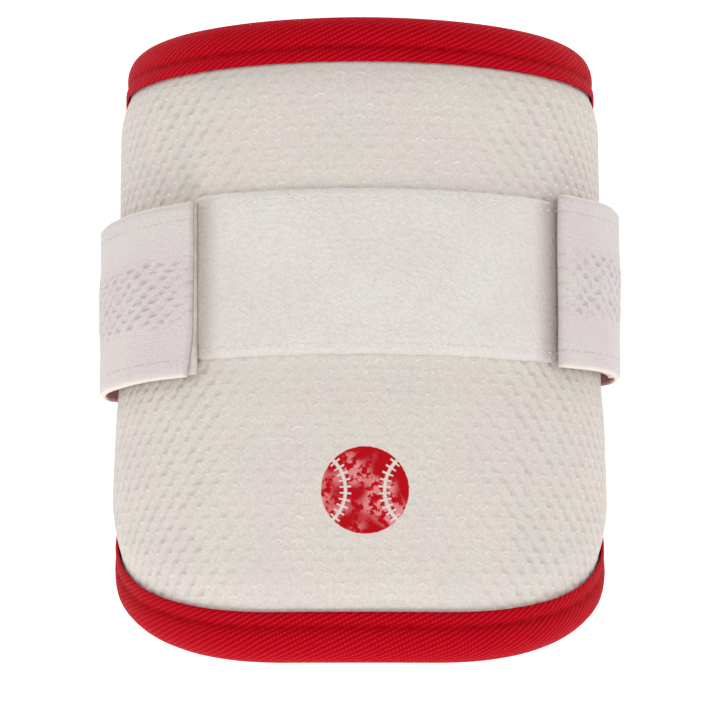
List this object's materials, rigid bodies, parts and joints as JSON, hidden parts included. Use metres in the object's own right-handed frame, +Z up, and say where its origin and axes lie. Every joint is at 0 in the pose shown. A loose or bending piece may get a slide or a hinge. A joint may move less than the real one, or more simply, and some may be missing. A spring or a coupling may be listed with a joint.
{
  "type": "elbow guard",
  "caption": "Padded baseball elbow guard: an arched foam pad in mesh cloth, bound round its edge, with a loop panel across the front and an elastic strap that closes on it.",
  "frame": {"origin": "on the surface that the guard lies on, under the middle of its bounding box", "axes": "+Z up out of the guard's front, +Y along the arm to its upper-arm end, +X to the right of the front"},
  "size_m": [0.1566, 0.184, 0.0944],
  "materials": {
    "mesh_cloth": "white raised mesh over foam",
    "edge_tape": "red ribbed binding tape",
    "loop_panel": "white brushed loop pile",
    "elastic": "white ribbed elastic webbing",
    "hook": "pale hook tape"
  },
  "bodies": {
    "root": {"guard_pad": "mesh_cloth", "edge_tape": "edge_tape", "loop_panel": "loop_panel", "elastic_strap": "elastic", "hook_patch_left": "hook", "hook_patch_right": "hook"}
  },
  "joints": []
}
